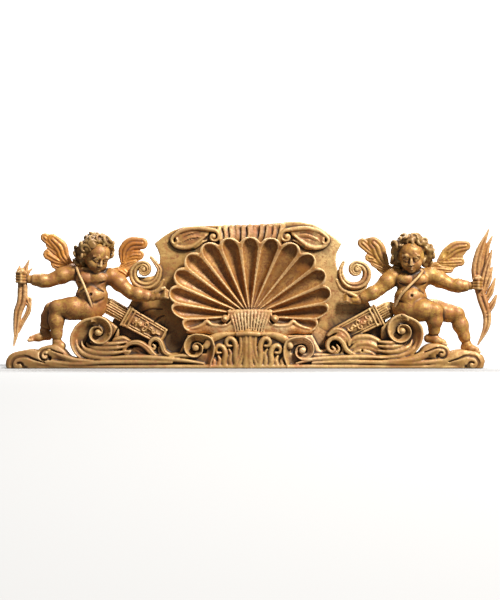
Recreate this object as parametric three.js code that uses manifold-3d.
import * as THREE from "three";
import { mergeVertices } from "three/addons/utils/BufferGeometryUtils.js";
import Module from "manifold-3d";

const wasm = await Module();
wasm.setup();

// Carved wood pediment. X runs along it, Y runs back to the wall, Z runs up from the underside.

// Driving dimensions, millimetres
const LENGTH = 1775; // left end scroll to the leaves of the right palm
const BASE_DEPTH = 120; // front of the base rail to the flat back
const BOARD_THICKNESS = 36;
const VOLUTE_PROUD = 50; // front of the big volutes, from the middle of the base
const FIGURE_HEIGHT = 432; // lowest toe to the top of the hair
const SHELL_HALF_WIDTH = 296;
const SHELL_RISE = 284; // hinge centre to the top of the rim
const SHELL_PROUD = 66; // rim in front of the board
const SHELL_WALL = 11;
const FLUTE_COUNT = 15;
const FLUTE_DEPTH = 15;
const WING_THICKNESS = 15;
const PALM_THICKNESS = 16;
const GAP = 0.3; // between pieces that bear on one another

// Setting-out grid: the pediment is 493 steps long
const STEP = LENGTH / 493;
// Figures are set out in 120ths of their own height
const SHARE = FIGURE_HEIGHT / 120;

const BACK = BASE_DEPTH / 2;
const RAIL_FRONT = -BASE_DEPTH / 2;
const BOARD_FRONT = BACK - BOARD_THICKNESS;
const BED_FRONT = -BASE_DEPTH * 0.25; // carved bed below the shell
const VOLUTE_FRONT = -VOLUTE_PROUD;

// Solids and joins

function solid(geometry) {
  const plain = geometry.index ? geometry.toNonIndexed() : geometry.clone();
  plain.deleteAttribute("normal");
  plain.deleteAttribute("uv");
  const merged = mergeVertices(plain, 1e-4);
  const corners = [];
  const index = merged.index.array;
  const points = merged.attributes.position;
  const corner = (i) => new THREE.Vector3().fromBufferAttribute(points, i);
  let volume = 0;
  for (let i = 0; i < index.length; i += 3) {
    const [a, b, c] = [index[i], index[i + 1], index[i + 2]];
    if (a === b || b === c || c === a) continue;
    corners.push(a, b, c);
    volume += corner(a).dot(corner(b).cross(corner(c)));
  }
  if (volume < 0) corners.reverse();
  const mesh = new wasm.Mesh({
    numProp: 3,
    vertProperties: Float32Array.from(points.array),
    triVerts: Uint32Array.from(corners),
  });
  return new wasm.Manifold(mesh);
}

function join(parts) {
  return wasm.Manifold.union(parts);
}

function geometryOf(body) {
  const mesh = body.getMesh();
  const geometry = new THREE.BufferGeometry();
  geometry.setAttribute("position", new THREE.BufferAttribute(Float32Array.from(mesh.vertProperties), 3));
  geometry.setIndex(new THREE.BufferAttribute(Uint32Array.from(mesh.triVerts), 1));
  const flat = geometry.toNonIndexed();
  flat.computeVertexNormals();
  return flat;
}

// Outlines in the X-Z plane, given in millimetres, made solid from front to back
function slab(outline, front, back) {
  const shape = new THREE.Shape(outline.map(([x, z]) => new THREE.Vector2(x, z)));
  const geometry = new THREE.ExtrudeGeometry(shape, { depth: back - front, bevelEnabled: false, curveSegments: 6 });
  geometry.rotateX(Math.PI / 2);
  geometry.translate(0, back, 0);
  return solid(geometry);
}

const onGrid = (points) => points.map(([x, z]) => [x * STEP, z * STEP]);

function smooth(points, count) {
  const curve = new THREE.SplineCurve(points.map(([x, z]) => new THREE.Vector2(x, z)));
  return curve.getPoints(count).map((p) => [p.x, p.y]);
}

// A flat band along a line, as wide as the given full widths at its start, middle and end
function band(line, widths, front, back) {
  const last = line.length - 1;
  const rings = line.map(([x, z], i) => {
    const before = line[Math.max(i - 1, 0)];
    const after = line[Math.min(i + 1, last)];
    const run = Math.hypot(after[0] - before[0], after[1] - before[1]);
    const half = widthAt(widths, i / last) / 2;
    const dx = (-(after[1] - before[1]) / run) * half;
    const dz = ((after[0] - before[0]) / run) * half;
    return [[x + dx, front, z + dz], [x - dx, front, z - dz], [x - dx, back, z - dz], [x + dx, back, z + dz]];
  });
  return sweep(rings);
}

// A solid through rings of points, closed at both ends
function sweep(rings) {
  const sides = rings[0].length;
  const corners = [];
  for (let i = 0; i < rings.length - 1; i += 1) {
    for (let k = 0; k < sides; k += 1) {
      const a = i * sides + k;
      const b = i * sides + ((k + 1) % sides);
      corners.push(a, b, a + sides, b, b + sides, a + sides);
    }
  }
  const end = (rings.length - 1) * sides;
  for (let k = 1; k < sides - 1; k += 1) {
    corners.push(0, k + 1, k);
    corners.push(end, end + k, end + k + 1);
  }
  return meshSolid(rings.flat(), corners);
}

function meshSolid(points, corners) {
  const geometry = new THREE.BufferGeometry();
  geometry.setAttribute("position", new THREE.BufferAttribute(new Float32Array(points.flat()), 3));
  geometry.setIndex(corners);
  return solid(geometry);
}

function widthAt([start, middle, end], t) {
  return t < 0.5 ? start + (middle - start) * t * 2 : middle + (end - middle) * (t - 0.5) * 2;
}

// The line of a scroll: out from its eye in a spiral, then along its tail
function scrollLine({ eye, radius, core, turns, leave, hand, tail, steps }) {
  const line = [];
  for (let i = 0; i <= steps; i += 1) {
    const t = i / steps;
    const angle = leave - hand * (1 - t) * turns * 2 * Math.PI;
    const r = core + (radius - core) * t ** 1.3;
    line.push([eye[0] + r * Math.cos(angle), eye[1] + r * Math.sin(angle)]);
  }
  return [...line, ...tail];
}

function disc(centre, radius, front, back, sides = 10) {
  const geometry = new THREE.CylinderGeometry(radius, radius, back - front, sides);
  geometry.translate(centre[0], (front + back) / 2, centre[1]);
  return solid(geometry);
}

// A turned limb from one joint to the next, swelling between them, with rounded ends
function limb(from, to, r0, r1, swell = 1.06, sides = 6) {
  const a = new THREE.Vector3(...from);
  const b = new THREE.Vector3(...to);
  const length = a.distanceTo(b);
  const profile = [
    [0, -0.9 * r0], [0.9 * r0, -0.4 * r0], [((r0 + r1) / 2) * swell, length * 0.45],
    [0.9 * r1, length + 0.4 * r1], [0, length + 0.9 * r1],
  ];
  const geometry = new THREE.LatheGeometry(profile.map(([r, h]) => new THREE.Vector2(r, h)), sides);
  const turn = new THREE.Quaternion().setFromUnitVectors(new THREE.Vector3(0, 1, 0), b.clone().sub(a).normalize());
  geometry.applyQuaternion(turn);
  geometry.translate(...from);
  return solid(geometry);
}

function egg(centre, [rx, ry, rz], around = 8, down = 5) {
  const geometry = new THREE.SphereGeometry(1, around, down);
  geometry.rotateX(Math.PI / 2);
  geometry.scale(rx, ry, rz);
  geometry.translate(...centre);
  return solid(geometry);
}

// A rounded form through a chain of places, each with its half-width across and its half-depth
function chain(places, radii, grow, sides = 6) {
  const points = places.map((place) => new THREE.Vector3(...place));
  const last = points.length - 1;
  const toward = (i) => points[Math.min(i + 1, last)].clone().sub(points[Math.max(i - 1, 0)]).normalize();
  const ring = (centre, along, [wide, deep]) => {
    const across = new THREE.Vector3().crossVectors(along, new THREE.Vector3(0, 1, 0)).normalize();
    const front = new THREE.Vector3().crossVectors(across, along);
    return Array.from({ length: sides }, (_, k) => {
      const angle = ((k + 0.5) / sides) * 2 * Math.PI;
      const p = centre.clone().addScaledVector(across, (wide + grow) * Math.cos(angle));
      return p.addScaledVector(front, (deep + grow) * Math.sin(angle)).toArray();
    });
  };
  const pair = (r) => (Array.isArray(r) ? r : [r, r]);
  const cap = (i, sign) => {
    const [wide, deep] = pair(radii[i]);
    const centre = points[i].clone().addScaledVector(toward(i), sign * 0.6 * (Math.min(wide, deep) + grow));
    return ring(centre, toward(i), [wide * 0.6, deep * 0.6]);
  };
  return sweep([cap(0, -1), ...points.map((point, i) => ring(point, toward(i), pair(radii[i]))), cap(last, 1)]);
}

// A leaf blade: a lens across, laid along a line in space
function blade(line, widths, thickness, rows = 4) {
  const curve = new THREE.CatmullRomCurve3(line.map((p) => new THREE.Vector3(...p)));
  const rings = [];
  for (let i = 0; i <= rows; i += 1) {
    const t = i / rows;
    const p = curve.getPointAt(t);
    const along = curve.getTangentAt(t);
    const across = new THREE.Vector3(-along.z, 0, along.x).normalize().multiplyScalar(widthAt(widths, t) / 2);
    rings.push([
      [p.x + across.x, p.y, p.z + across.z], [p.x, p.y - thickness / 2, p.z],
      [p.x - across.x, p.y, p.z - across.z], [p.x, p.y + thickness / 2, p.z],
    ]);
  }
  return sweep(rings);
}

// Board: outline with ears, standing on the rail

const BOARD_OUTLINE = [
  [-136, 8], [-138, 48], [-122, 62], [-114, 77], [-106, 82], [-97, 90], [-91, 104], [-90.5, 112], [-93, 119],
  [-96.2, 124.6], [-87, 132], [-78, 137.7], [-67, 141.5], [-49, 142.5], [-36, 143.1], [0, 143.5], [25, 145.3],
  [39, 146.7], [50, 146.7], [64, 143.9], [74, 139], [84.7, 131.3], [92, 124.6], [87, 115], [86, 107], [88, 98],
  [97, 86], [114, 77], [121, 62], [136, 48], [136, 8],
];

function board() {
  return slab(onGrid(BOARD_OUTLINE), BOARD_FRONT, BACK);
}

// A scroll: its band, the sunk disc behind it and its eye
function scrollwork({ spiral, widths, front, sunk, back, floor }) {
  const line = scrollLine(spiral);
  const parts = [
    band(onGrid(line), widths.map((w) => w * STEP), front, back),
    disc([spiral.eye[0] * STEP, spiral.eye[1] * STEP], floor * STEP, sunk, back),
    disc([spiral.eye[0] * STEP, spiral.eye[1] * STEP], spiral.core * 1.3 * STEP, front - 2, back, 6),
  ];
  return join(parts);
}

const mirrored = (points, side) => points.map(([x, z]) => [x * side, z]);

// Crest: a fringe of wavy strands between two long leaf scrolls

const FRINGE_STRANDS = 8;
const FRINGE_SPREAD = 57;

function fringe() {
  const strands = [];
  for (let i = 0; i < FRINGE_STRANDS; i += 1) {
    const x = ((i + 0.5) / FRINGE_STRANDS - 0.5) * FRINGE_SPREAD;
    const lean = x * 0.1;
    const line = onGrid([[x + lean, 143], [x + lean + 1.2, 137], [x - 0.6, 131], [x, 123]]);
    strands.push(band(line, [6.4 * STEP, 5 * STEP, 4 * STEP], BOARD_FRONT - 14, BOARD_FRONT + 2));
  }
  return join(strands);
}

function crestScroll(side) {
  const spiral = {
    eye: [side * 36, 131], radius: 7, core: 2.2, turns: 0.9, leave: Math.PI / 2, hand: side * -1, steps: 7,
    tail: mirrored([[44, 139.4], [52, 139], [61, 137], [70, 134], [75, 130], [74, 126]], side),
  };
  const lower = smooth(mirrored([[76, 127], [69, 123.5], [60, 124], [52, 129], [44, 133]], side), 6);
  return join([
    scrollwork({ spiral, widths: [2.4, 4.2, 3], front: BOARD_FRONT - 24, sunk: BOARD_FRONT - 8,
      back: BOARD_FRONT + 2, floor: 7 }),
    band(onGrid(lower), [2.5 * STEP, 4.5 * STEP, 2.5 * STEP], BOARD_FRONT - 20, BOARD_FRONT + 2),
    slab(onGrid(mirrored([[44, 137], [60, 136], [72, 131], [70, 126], [60, 126], [44, 134]], side)),
      BOARD_FRONT - 6, BOARD_FRONT + 2),
  ]);
}

// Side scrolls: open curls on the flanks of the board, each with a rising leaf tip

function sideScroll(side, tip) {
  const spiral = {
    eye: [side * 108, 98], radius: 5.4, core: 2.2, turns: 0.85, leave: Math.PI / 2, hand: -side, steps: 7,
    tail: mirrored([[114.6, 100], [117.4, 94.5], [115, 87.5], [107.5, 83.5], [98.5, 84.5], [92.6, 91], [92, 99]], side),
  };
  const line = scrollLine(spiral);
  line.push([side * tip[0], tip[1]]);
  return join([
    band(onGrid(line), [2 * STEP, 6 * STEP, 3 * STEP], BOARD_FRONT - 20, BACK),
    disc([side * 108 * STEP, 98 * STEP], 3.6 * STEP, BOARD_FRONT - 23, BACK, 8),
    disc([side * 109 * STEP, 96 * STEP], 5 * STEP, BOARD_FRONT + 6, BACK, 10),
  ]);
}

// Base rail: a plinth with running mouldings and scrolled ends

const RAIL_OUTLINE = [
  [-240, 0], [-243, 8], [-236, 14], [-222, 14], [-205, 8], [-180, 9], [-165, 8], [-140, 14], [140, 14],
  [158, 8], [180, 8], [200, 10], [216, 14], [228, 12], [231, 6], [228, 0],
];
const RAIL_END = 150;

function rail() {
  const fillet = onGrid([[-232, 0], [-232, 4], [226, 4], [226, 0]]);
  const torus = smooth([[-190, 9], [-150, 7.5], [-60, 8], [60, 8], [150, 7.5], [190, 9]], 10);
  return join([
    slab(onGrid(RAIL_OUTLINE), RAIL_FRONT + 12, BACK),
    slab(fillet, RAIL_FRONT, BACK),
    band(onGrid(torus), [3 * STEP, 3.6 * STEP, 3 * STEP], RAIL_FRONT + 3, BACK - 10),
    slab(onGrid([[-RAIL_END, 10], [-RAIL_END + 12, 16], [RAIL_END - 12, 16], [RAIL_END, 10]]), RAIL_FRONT + 18, BACK),
  ]);
}

function endScroll(side, eye, radius) {
  const [x, z] = eye;
  const spiral = {
    eye: [side * x, z], radius, core: 2.6, turns: 0.95, leave: Math.PI / 2, hand: side, steps: 7,
    tail: mirrored([[x - radius, z + radius - 1.5], [x - 2 * radius, z + radius - 6], [x - 3.2 * radius, 6]], side),
  };
  return scrollwork({ spiral, widths: [3, 4.6, 5], front: RAIL_FRONT + 2, sunk: RAIL_FRONT + 14, back: BACK,
    floor: radius });
}

// Foot scrolls: the curls on the rail that carry the lower feet

function footScroll(side, eye, radius) {
  const [x, z] = eye;
  const spiral = {
    eye: [side * x, z], radius, core: 2.2, turns: 0.9, leave: Math.PI / 2, hand: side, steps: 7,
    tail: mirrored([[x - 8, z + radius - 1.6], [x - 18, z + radius - 7], [x - 28, 9], [x - 40, 5]], side),
  };
  return scrollwork({ spiral, widths: [3, 4.4, 4], front: RAIL_FRONT + 8, sunk: RAIL_FRONT + 18, back: BACK - 6,
    floor: radius });
}

// Big volutes: the seats of the figures

const VOLUTES = {
  left: { side: -1, eye: [-151, 35], ring: 12,
    tail: [[-159, 49.5], [-168, 45.5], [-174.5, 38], [-176.4, 29], [-174.5, 20], [-168, 12.5], [-156, 8], [-140, 6]],
    body: [[-134, 3], [-134, 40], [-140, 46], [-151, 51], [-165, 49], [-175, 42], [-178.5, 32], [-177.5, 22],
      [-171, 12], [-160, 3]] },
  right: { side: 1, eye: [151, 37], ring: 12.5,
    tail: [[158, 51], [166, 47.5], [171, 40.5], [172, 31], [169, 22], [162, 14], [152, 9], [140, 6]],
    body: [[134, 3], [134, 40], [140, 48], [151, 52], [164, 50.5], [171.5, 43], [172.5, 31], [169, 20],
      [161, 10], [150, 3]] },
};

function bigVolute({ side, eye, ring, tail, body }) {
  const spiral = { eye, radius: ring + 3, core: 2.6, turns: 1.35, leave: Math.PI / 2, hand: -side, steps: 12, tail };
  return join([
    slab(onGrid(body), VOLUTE_FRONT + 18, BACK),
    scrollwork({ spiral, widths: [3, 4.4, 7], front: VOLUTE_FRONT, sunk: VOLUTE_FRONT + 12, back: BACK - 12,
      floor: ring }),
  ]);
}

// Lower volutes and the fanned leaf under the shell

function lowerVolute(side, eye) {
  const [x, z] = eye;
  const spiral = {
    eye: [side * x, z], radius: 12.5, core: 2.8, turns: 1.3, leave: Math.PI / 2, hand: side, steps: 11,
    tail: mirrored([[x - 9, z + 11], [x - 15.5, z + 5], [x - 17, z - 3], [x - 15, z - 11], [x - 12, 1]], side),
  };
  return scrollwork({ spiral, widths: [2.6, 4.4, 4.6], front: RAIL_FRONT, sunk: RAIL_FRONT + 22, back: BOARD_FRONT,
    floor: 13 });
}

const LEAF_CENTRE = -2;

function fannedLeaf() {
  const parts = [];
  for (const offset of [-6.4, 0, 6.4]) {
    const line = onGrid([[LEAF_CENTRE + offset, 34], [LEAF_CENTRE + offset, 20], [LEAF_CENTRE + offset * 1.25, 8],
      [LEAF_CENTRE + offset * 1.6, 0]]);
    parts.push(band(line, [5 * STEP, 5.4 * STEP, 7 * STEP], RAIL_FRONT - 2, BOARD_FRONT));
  }
  for (const side of [-1, 1]) {
    for (const strand of [0, 1]) {
      const top = [LEAF_CENTRE + side * (16 + strand * 11), 31 - strand * 7];
      const line = onGrid([[top[0], top[1] - 3], [top[0] + side * 1.5, top[1] - 12],
        [top[0] + side * 2, 6], [top[0] + side, 0]]);
      parts.push(band(line, [5.4 * STEP, 6 * STEP, 6.4 * STEP], RAIL_FRONT + 2 + strand * 3, BOARD_FRONT));
      parts.push(disc([top[0] * STEP, (top[1] - 2) * STEP], 4.6 * STEP, RAIL_FRONT + 2 + strand * 3, BOARD_FRONT, 8));
    }
  }
  return join(parts);
}

// Leaf scrolls that run along the bed between the big volutes and the shell

function bed() {
  const outline = [[-136, 6], [-137, 26], [-118, 22], [-100, 26], [-84, 16], [-70, 18], [-60, 32], [60, 32],
    [70, 18], [84, 20], [104, 26], [120, 24], [137, 23], [136, 6]];
  return slab(onGrid(outline), BED_FRONT, BACK);
}

function waveLeaf(line, widths, eye, radius) {
  return join([
    band(onGrid(smooth(line, 9)), widths.map((w) => w * STEP), BED_FRONT - 18, BOARD_FRONT),
    disc([eye[0] * STEP, eye[1] * STEP], radius * STEP, BED_FRONT - 20, BOARD_FRONT, 6),
  ]);
}

function leafScrolls() {
  return join([
    waveLeaf([[-122, 13], [-125, 18], [-119, 24], [-110, 24.5], [-102, 20], [-95, 12], [-84, 8], [-66, 8]],
      [2.5, 4.6, 4], [-119, 15], 3),
    waveLeaf([[-95, 18], [-98, 25], [-92, 28], [-88, 22], [-84, 14], [-74, 11], [-62, 14]],
      [2.5, 4.4, 3.6], [-95, 22], 3),
    waveLeaf([[76, 19], [77, 28], [84, 31], [91, 27], [97, 19], [108, 14], [128, 9]], [3, 4.4, 4], [84, 21], 4),
    waveLeaf([[101, 14], [104, 22], [111, 26.5], [120, 25], [128, 17], [137, 11]], [2.6, 4.4, 3], [112, 16], 3),
  ]);
}

// Quivers: a tapering case with a moulded mouth and a sheaf of arrows, laid across each lower corner

function quiver(side, mouth, foot, tail) {
  const parts = [
    band(onGrid(mirrored([mouth, foot], side)), [19 * STEP, 17.5 * STEP, 15 * STEP], BOARD_FRONT - 30, BOARD_FRONT + 4),
  ];
  const run = Math.hypot(foot[0] - mouth[0], foot[1] - mouth[1]);
  const along = [(foot[0] - mouth[0]) / run, (foot[1] - mouth[1]) / run];
  const across = [-along[1], along[0]];
  const place = (a, c) => [side * (mouth[0] + along[0] * a + across[0] * c), mouth[1] + along[1] * a + across[1] * c];
  parts.push(band(onGrid([place(-1, 0), place(3, 0)]), [21 * STEP, 21 * STEP, 21 * STEP], BOARD_FRONT - 36,
    BOARD_FRONT + 4));
  parts.push(band(onGrid([place(run - 4, 0), place(run, 0)]), [17 * STEP, 17 * STEP, 17 * STEP], BOARD_FRONT - 34,
    BOARD_FRONT + 4));
  for (const c of [-5.5, 0, 5.5]) {
    parts.push(band(onGrid([place(0, c), place(-tail, c * 0.95)]), [4.2 * STEP, 4 * STEP, 4 * STEP],
      BOARD_FRONT - 32, BOARD_FRONT - 8));
  }
  parts.push(band(onGrid([place(0, 0), place(-tail + 2, 0)]), [16 * STEP, 15 * STEP, 14 * STEP], BOARD_FRONT - 22,
    BOARD_FRONT + 4));
  return join(parts);
}

// Nail holes left in the lower leaves
const HOLES = [[112, 16], [133, 20.3], [178, 12.4], [-128.8, 18.4]];
const HOLE_RADIUS = 4;

function holes(front) {
  return join(HOLES.map((at) => disc([at[0] * STEP, at[1] * STEP], HOLE_RADIUS, 2 * RAIL_FRONT, front, 6)));
}

// Scallop shell: hollow flutes spread from a hinge, a lobed rim that stands free of the board

const HINGE = [0, 52]; // centre of the hinge on the grid
const FLUTE_SPREAD = 16.3; // degrees between the upright flutes
const SPREAD_LOSS = 0.31; // how the spacing closes towards the ends
const LOBE_NOTCH = 0.045;
const SIDE_SHRINK = 0.2; // the end lobes are this much shorter
const LOWER_EDGE = 16.5; // hinge centre down to the lower edge, on the grid
const SHELL_DEEP = BOARD_FRONT - GAP - SHELL_WALL - FLUTE_DEPTH;
const FLUTE_CUTS = [-1, -0.5, 0.5];
const SHELL_ROWS = [0.16, 0.45, 0.78, 1];
const UNDERSIDE_COLUMNS = 9;

function fluteAngle(k) {
  return THREE.MathUtils.degToRad(FLUTE_SPREAD * k - SPREAD_LOSS * k * Math.abs(k));
}

function rimRadius(angle) {
  const power = 2.6;
  const across = Math.abs(Math.sin(angle)) / SHELL_HALF_WIDTH;
  const up = Math.abs(Math.cos(angle)) / SHELL_RISE;
  const full = (across ** power + up ** power) ** (-1 / power);
  const past = THREE.MathUtils.smoothstep(Math.abs(angle), 1.35, 1.8);
  return full * (1 - SIDE_SHRINK * past);
}

function shellColumns() {
  const last = (FLUTE_COUNT - 1) / 2;
  const columns = [];
  for (let k = -last; k <= last; k += 1) {
    const middle = fluteAngle(k);
    const low = (fluteAngle(k - 1) + middle) / 2;
    const high = (fluteAngle(k + 1) + middle) / 2;
    for (const u of FLUTE_CUTS) {
      const angle = u < 0 ? middle + (middle - low) * u : middle + (high - middle) * u;
      columns.push({ angle, u, radius: rimRadius(angle) * (1 - LOBE_NOTCH * Math.abs(u) ** 2.5) });
    }
  }
  const end = (fluteAngle(last) + fluteAngle(last + 1)) / 2;
  columns.push({ angle: end, u: 1, radius: rimRadius(end) * (1 - LOBE_NOTCH) });
  for (let i = 1; i < UNDERSIDE_COLUMNS; i += 1) {
    const angle = end + ((2 * Math.PI - 2 * end) * i) / UNDERSIDE_COLUMNS;
    const radius = Math.min((LOWER_EDGE * STEP) / Math.abs(Math.cos(angle)), rimRadius(end));
    columns.push({ angle, u: 1, radius });
  }
  return columns;
}

function shellDish(grow) {
  const columns = shellColumns();
  const shellFront = (r, u) => {
    const out = Math.min(r / SHELL_HALF_WIDTH, 1);
    const base = SHELL_DEEP - (SHELL_PROUD - FLUTE_DEPTH - SHELL_WALL) * out ** 1.9;
    const hollow = FLUTE_DEPTH * Math.min(out * 2.2, 1) * (1 - u * u);
    return base + hollow;
  };
  const positions = [];
  const rows = [...SHELL_ROWS.map((s) => ({ s, face: "front" })), { s: 1, face: "back" }, { s: 0.7, face: "back" }];
  const flat = BOARD_FRONT - GAP + grow;
  positions.push(HINGE[0] * STEP, SHELL_DEEP - grow, HINGE[1] * STEP);
  for (const { s, face } of rows) {
    for (const { angle, u, radius } of columns) {
      const r = s * (radius + grow);
      const front = shellFront(r, u);
      const free = Math.min(front + SHELL_WALL, BOARD_FRONT - GAP);
      const y = face === "front" ? front - grow : s === 1 ? free + grow : flat;
      positions.push(HINGE[0] * STEP + r * Math.sin(angle), y, HINGE[1] * STEP + r * Math.cos(angle));
    }
  }
  positions.push(HINGE[0] * STEP, flat, HINGE[1] * STEP);
  const corners = [];
  const n = columns.length;
  const apex = positions.length / 3 - 1;
  for (let c = 0; c < n; c += 1) {
    const d = (c + 1) % n;
    corners.push(0, 1 + c, 1 + d);
    for (let r = 0; r < rows.length - 1; r += 1) {
      const a = 1 + r * n;
      corners.push(a + c, a + n + c, a + d, a + d, a + n + c, a + n + d);
    }
    const e = 1 + (rows.length - 1) * n;
    corners.push(e + c, apex, e + d);
  }
  return meshSolid(positions, corners);
}

function hinge(grow) {
  const y = BOARD_FRONT - SHELL_PROUD;
  const [hx, hz] = HINGE;
  const at = (x, z, back = 0) => [(hx + x) * STEP, y + back, (hz + z) * STEP];
  const parts = [egg(at(0, 0, 18), [21 * STEP + grow, 26 + grow, 6.4 * STEP + grow], 8, 6)];
  for (const side of [-1, 1]) {
    parts.push(egg(at(side * 24.5, -2.5, 10), [4.8 * STEP + grow, 24 + grow, 4.8 * STEP + grow], 8, 5));
    parts.push(limb(at(side * 22, -7, 28), at(side * 54, -10, 24), 4 * STEP + grow, 3 * STEP + grow, 1, 5));
  }
  for (const rib of [-1, 0, 1]) {
    parts.push(limb(at(rib * 11, -4, 14), at(rib * 7.4 - 2, -16, 4), 4.8 * STEP + grow, 3.6 * STEP + grow, 1, 5));
  }
  parts.push(limb(at(-10.5, -18.6, 4), at(7, -18.6, 4), 2.9 * STEP + grow, 2.9 * STEP + grow, 1, 6));
  return join(parts);
}

function shell(grow = 0) {
  return shellDish(grow).add(hinge(grow).intersect(inFrontOfBoard(grow)));
}

function inFrontOfBoard(grow) {
  const reach = LENGTH;
  const box = new THREE.BoxGeometry(2 * reach, reach, 2 * reach);
  box.translate(0, BOARD_FRONT - GAP + grow - reach / 2, 0);
  return solid(box);
}

// Figures: places are [along, back, up] in 120ths of the figure's height from its seat

const FIGURES = {
  left: {
    volute: "left", seat: [-9, 0, 25],
    belly: [2, -1, 14], chest: [2, 0, 28], neck: [5, -1, 38], head: [7, -4, 53], turn: -14, nod: 12, lean: -4,
    arms: [
      { joints: [[-18, 1, 36], [-42, -3, 26.5], [-60, -4, 28.5]], hand: [-68, -4, 30], fist: true },
      { joints: [[21, 1, 32], [41.5, -3, 14.5], [63, -6, 11]], hand: [72, -8, 13.5], tip: [78, -9, 15.5] },
    ],
    legs: [
      { joints: [[-3, -5, -1], [-33, -8, 0], [-32.5, -6, -34]], heel: [-28, -5, -38], toe: [-42, -11, -43] },
      { joints: [[-5, 6, 0], [-39, 5, -2], [-46, 3, -23]], heel: [-42, 3, -28], toe: [-61, -2, -31] },
    ],
    strap: [[-13, -6, 39], [-5, -10.5, 26], [0, -11.5, 13], [2, -10, 3]],
    locks: [[[-8, 0, 66], 5.5], [[-14, 1, 59], 5.5], [[-10, 2, 50], 5], [[11, -3, 69], 6]],
  },
  right: {
    volute: "right", seat: [3, 0, 23],
    belly: [4, -1, 13], chest: [6, 0, 27], neck: [7, -1, 37], head: [7, -4, 53], turn: 14, nod: 14, lean: 5,
    arms: [
      { joints: [[-11, 1, 32], [-26, -1, 18], [-45, -1, 8]], hand: [-53, -1, 9], tip: [-60, -1, 13] },
      { joints: [[26, 1, 33], [49, -3, 22.5], [66, -4, 22.5]], hand: [73, -4, 24], fist: true },
    ],
    legs: [
      { joints: [[6, -4, -1], [30, -10, -3], [29.5, -4, -28]], heel: [24, -3, -30], toe: [41, -9, -34.5] },
      { joints: [[12, 4, 0], [53, 0, -6], [63, 1, -36]], heel: [61, 2, -39], toe: [74, -4, -42] },
    ],
    strap: [[17, -6, 37], [8, -10.5, 26], [-3, -10.5, 14], [-7, -8, 2]],
    locks: [[[24, 0, 57], 5.5], [[-7, 1, 62], 5.5], [[21, 0, 47], 5], [[10, -3, 69], 6]],
  },
};

function seatOf({ volute, seat }) {
  const { eye } = VOLUTES[volute];
  return [(eye[0] + seat[0]) * STEP, seat[1] * STEP, (eye[1] + seat[2]) * STEP];
}

function spot(figure, place) {
  const seat = seatOf(figure);
  return place.map((value, axis) => seat[axis] + value * SHARE);
}

// Features of a head, turned and tilted about its centre
function headPart(figure, grow, offset, radii, around = 6, down = 4, curl = 0) {
  const geometry = new THREE.SphereGeometry(1, around, down);
  geometry.rotateX(Math.PI / 2);
  geometry.scale(...radii.map((v) => v * SHARE + grow));
  const places = geometry.attributes.position;
  for (let i = 0; i < places.count; i += 1) {
    const lump = 1 + curl * Math.cos(Math.PI * Math.round((places.getX(i) + places.getZ(i) * 3) / (4 * SHARE)));
    places.setXYZ(i, places.getX(i) * lump, places.getY(i) * lump, places.getZ(i) * lump);
  }
  geometry.translate(...offset.map((v) => v * SHARE));
  geometry.rotateX(THREE.MathUtils.degToRad(figure.nod));
  geometry.rotateY(THREE.MathUtils.degToRad(figure.lean));
  geometry.rotateZ(THREE.MathUtils.degToRad(figure.turn));
  geometry.translate(...spot(figure, figure.head));
  return solid(geometry);
}

function head(figure, grow) {
  const parts = [
    headPart(figure, grow, [0, 1, 0], [13, 14, 16], 9, 7),
    headPart(figure, grow, [0, -13, -3.4], [2.4, 3.4, 3.2], 5, 4),
    headPart(figure, grow, [0, -7, -8], [9, 8, 7.5], 7, 5),
    headPart(figure, grow, [0, 5, 5], [17.5, 15, 14.5], 12, 8, 0.045),
  ];
  for (const [place, size] of figure.locks) {
    parts.push(egg(spot(figure, place), [size * SHARE + grow, 6 * SHARE + grow, size * SHARE + grow], 5, 4));
  }
  return join(parts);
}

function arm(figure, { joints, hand, tip, fist }, grow) {
  const r = (v) => v * SHARE;
  const [shoulder, elbow, wrist] = joints.map((joint) => spot(figure, joint));
  const middle = (a, b) => a.map((v, i) => (v + b[i]) / 2);
  const palm = spot(figure, hand);
  const places = [shoulder, middle(shoulder, elbow), elbow, middle(elbow, wrist), wrist, palm];
  const radii = [r(8.6), r(8), r(6.8), r(6.6), r(4.8), fist ? r(5) : [r(4.8), r(3.4)]];
  if (tip) {
    places.push(spot(figure, tip));
    radii.push([r(3.4), r(2)]);
  }
  const body = chain(places, radii, grow);
  return fist ? body.add(egg(palm, [r(6.4) + grow, r(6.6) + grow, r(6) + grow], 7, 5)) : body;
}

function leg(figure, { joints, heel, toe }, grow) {
  const r = (v) => v * SHARE;
  const [hip, knee, ankle] = joints.map((joint) => spot(figure, joint));
  const middle = (a, b, t) => a.map((v, i) => v + (b[i] - v) * t);
  const thigh = chain([hip, middle(hip, knee, 0.5), knee], [r(12), r(11), r(8.4)], grow, 7);
  const calf = chain([knee, middle(knee, ankle, 0.4), ankle], [r(8.2), r(8), r(4.8)], grow);
  const [back, front] = [spot(figure, heel), spot(figure, toe)];
  return join([thigh, calf, chain([back, middle(back, front, 0.5), front], [r(4.4), r(4.4), r(3)], grow)]);
}

function putto(name, grow = 0) {
  const figure = FIGURES[name];
  const r = (wide, deep) => [wide * SHARE, deep * SHARE];
  const at = (place) => spot(figure, place);
  const parts = [
    chain([at([0, 0, -2]), at(figure.belly), at(figure.chest), at(figure.neck), at(figure.head)],
      [r(15, 13), r(15.5, 13.5), r(17, 12), r(8, 8), r(8, 8)], grow, 9),
    chain([at(figure.arms[0].joints[0]), at(figure.chest.map((v, i) => v + [0, 0, 7][i])),
      at(figure.arms[1].joints[0])], [r(7, 7), r(8, 9), r(7, 7)], grow),
    head(figure, grow),
    ...figure.arms.map((side) => arm(figure, side, grow)),
    ...figure.legs.map((side) => leg(figure, side, grow)),
    chain(figure.strap.map(at), figure.strap.map(() => r(1.8, 1.8)), grow, 4),
  ];
  return join(parts);
}

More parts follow.
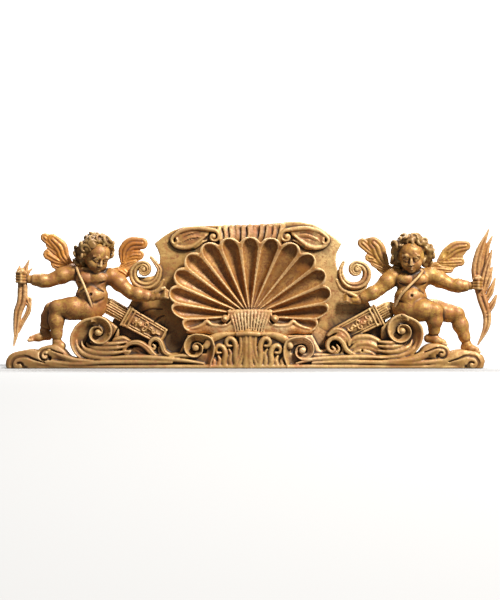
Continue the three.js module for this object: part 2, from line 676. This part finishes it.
// Wings: thin blades with raised feathers, places in 120ths of the figure's height from its seat

const WINGS = {
  left_outer: { figure: "left", depth: 7,
    outline: [[-14, 38], [-26, 36], [-35, 36], [-41, 41], [-42, 46], [-48, 52], [-48, 57], [-45, 60.5], [-49, 66],
      [-50.5, 71], [-47, 74.5], [-41, 74.8], [-33, 72.8], [-26, 67], [-23, 61], [-24.5, 53], [-19, 47], [-12, 44]],
    feathers: [[[-20, 46], [-32, 57], [-44, 70]], [[-18, 43], [-33, 49], [-45, 54]]] },
  left_inner: { figure: "left", depth: 8,
    outline: [[20, 36], [27, 28.5], [34, 27.5], [38, 31], [40, 39], [46, 47], [53, 48.5], [54.3, 51], [51, 54], [47, 56.5],
      [53.5, 58], [58, 63.5], [54, 69.5], [44, 71], [35, 68], [29.5, 62], [27.5, 56], [31, 48], [30, 41], [22, 40]],
    feathers: [[[26, 38], [36, 52], [52, 65]], [[27, 35], [38, 44], [50, 50]]] },
  right_inner: { figure: "right", depth: 7,
    outline: [[-8, 38], [-14, 34], [-21, 31.5], [-24.5, 36], [-28, 41.5], [-34.5, 47.5], [-39, 52], [-37, 56], [-43, 60],
      [-46.5, 65], [-43, 70], [-34, 72.5], [-23, 69.5], [-16.5, 61.5], [-17, 56], [-20, 51], [-18.5, 45], [-11, 42]],
    feathers: [[[-14, 40], [-26, 53], [-40, 66]], [[-14, 38], [-27, 45], [-38, 52]]] },
  right_outer: { figure: "right", depth: 7,
    outline: [[22, 42], [30, 35], [40, 33], [48, 33.5], [52, 39.5], [59, 42], [62.5, 47], [60, 52.5], [65, 57.5],
      [67, 63], [63, 67.6], [54.5, 68.4], [45, 65], [39, 57], [38.5, 51], [36, 47.5], [28, 46]],
    feathers: [[[28, 43], [44, 53], [62, 64]], [[30, 41], [45, 45], [60, 47]]] },
};

function wing(name, grow = 0) {
  const { figure, depth, outline, feathers } = WINGS[name];
  const seat = seatOf(FIGURES[figure]);
  const flatSpot = ([x, z]) => [seat[0] + x * SHARE, seat[2] + z * SHARE];
  const middle = seat[1] + depth * SHARE;
  const front = middle - WING_THICKNESS / 2 - grow;
  const parts = [slab(outline.map(flatSpot), front + 5, middle + WING_THICKNESS / 2 + grow)];
  for (const feather of feathers) {
    const widths = [7 * SHARE, 12 * SHARE, 9 * SHARE];
    parts.push(band(smooth(feather.map(flatSpot), 3), widths, front, middle));
  }
  return join(parts);
}

// Palm branches: leaf blades on a stem that passes through the fist

const PALMS = {
  left: { figure: "left", hand: 0,
    leaves: [
      { line: [[0, 6], [0, -8], [-3.5, -25], [-7.5, -40], [-6.5, -55], [-8, -68]], widths: [8, 9.5, 2] },
      { line: [[-1, -17], [4, -22], [8, -22.5]], widths: [4, 5, 3] },
      { line: [[8, -22], [6.5, -36], [0, -50], [-3.5, -62]], widths: [3.5, 3, 3] },
      { line: [[-2, -2], [-3.5, 6], [-1.5, 12.5]], widths: [4, 4.5, 1.5] },
      { line: [[1.5, -2], [3.5, 8], [7.5, 18]], widths: [5, 6, 1.5] },
    ] },
  right: { figure: "right", hand: 1,
    leaves: [
      { line: [[0, 6], [4, -12], [9.5, -30], [8.5, -44], [0.5, -60.5]], widths: [8, 9, 2] },
      { line: [[1, -8], [-1, 14], [3, 34], [11.5, 54.5]], widths: [6, 9.5, 2] },
      { line: [[2, -6], [6, 16], [9, 34], [15, 48]], widths: [6, 8, 2] },
      { line: [[4, -10], [8, 10], [14.5, 34]], widths: [6, 7, 2] },
      { line: [[5, -10], [11, 4], [15, 17]], widths: [5, 6, 2] },
      { line: [[6, -20], [13, -8], [18, 6]], widths: [5, 5.5, 2] },
      { line: [[9, -30], [16, -18], [19, -11]], widths: [5, 6, 2.5] },
    ] },
};

function palm(name, grow = 0) {
  const { figure, hand, leaves } = PALMS[name];
  const owner = FIGURES[figure];
  const fist = owner.arms[hand].hand;
  const parts = leaves.map(({ line, widths }, i) => {
    const back = (i % 3) * 0.8;
    const run = line.map(([x, z]) => spot(owner, [fist[0] + x, fist[1] + back, fist[2] + z]));
    return blade(run, widths.map((w) => w * SHARE + 2 * grow), PALM_THICKNESS + 2 * grow);
  });
  return join(parts);
}

// Assembly

function aboveUnderside() {
  const box = new THREE.BoxGeometry(2 * LENGTH, 2 * LENGTH, LENGTH);
  box.translate(0, 0, LENGTH / 2);
  return solid(box);
}

function inFrontOfBack() {
  const box = new THREE.BoxGeometry(2 * LENGTH, 2 * LENGTH, 4 * LENGTH);
  box.translate(0, BACK - LENGTH, 0);
  return solid(box);
}

function ground() {
  const whole = join([
    board(), fringe(), crestScroll(-1), crestScroll(1), sideScroll(-1, [99.6, 111]), sideScroll(1, [94, 106]),
    rail(), bigVolute(VOLUTES.left), bigVolute(VOLUTES.right), lowerVolute(-1, [54, 20.5]), lowerVolute(1, [52, 18]),
    fannedLeaf(), bed(), leafScrolls(),
    quiver(-1, [122, 52], [92, 33], 22), quiver(1, [124, 51], [92, 33.5], 19),
    endScroll(-1, [231, 5], 12.5), endScroll(1, [221.5, 5.5], 11),
    footScroll(-1, [204, 14], 8.6), footScroll(1, [191, 15.5], 8),
  ]);
  return whole.intersect(aboveUnderside()).intersect(inFrontOfBack())
    .subtract(shell(GAP)).subtract(putto("left", GAP)).subtract(putto("right", GAP))
    .subtract(wing("left_inner", GAP)).subtract(wing("right_inner", GAP))
    .subtract(holes(BED_FRONT));
}

const figures = join([putto("left", GAP), putto("right", GAP)]);
const palms = join([palm("left", GAP), palm("right", GAP)]);
const groundBody = ground();

const WOOD = {
  ground: { colour: 0xb98f52, roughness: 0.62 },
  shell: { colour: 0xa8663f, roughness: 0.55 },
  figures: { colour: 0xc08c4c, roughness: 0.55 },
  wings: { colour: 0xc47e48, roughness: 0.6 },
  palms: { colour: 0xb0714a, roughness: 0.65 },
};

function material(name) {
  const { colour, roughness } = WOOD[name];
  const wood = new THREE.MeshStandardMaterial({ color: colour, roughness, metalness: 0.15 });
  wood.name = name;
  return wood;
}

const materials = Object.fromEntries(Object.keys(WOOD).map((name) => [name, material(name)]));

const pediment = new THREE.Group();
pediment.name = "carved_wood_pediment";

function show(name, body, wood) {
  const mesh = new THREE.Mesh(geometryOf(body), materials[wood]);
  mesh.name = name;
  pediment.add(mesh);
}

show("pediment_ground", groundBody, "ground");
show("scallop_shell", shell().subtract(figures), "shell");
show("left_putto", putto("left").subtract(palms), "figures");
show("right_putto", putto("right").subtract(palms), "figures");
show("left_putto_outer_wing", wing("left_outer").subtract(figures), "wings");
show("left_putto_inner_wing", wing("left_inner").subtract(figures), "wings");
show("right_putto_inner_wing", wing("right_inner").subtract(figures), "wings");
show("right_putto_outer_wing", wing("right_outer").subtract(figures), "wings");
show("left_palm", palm("left"), "palms");
show("right_palm", palm("right"), "palms");

export default pediment;
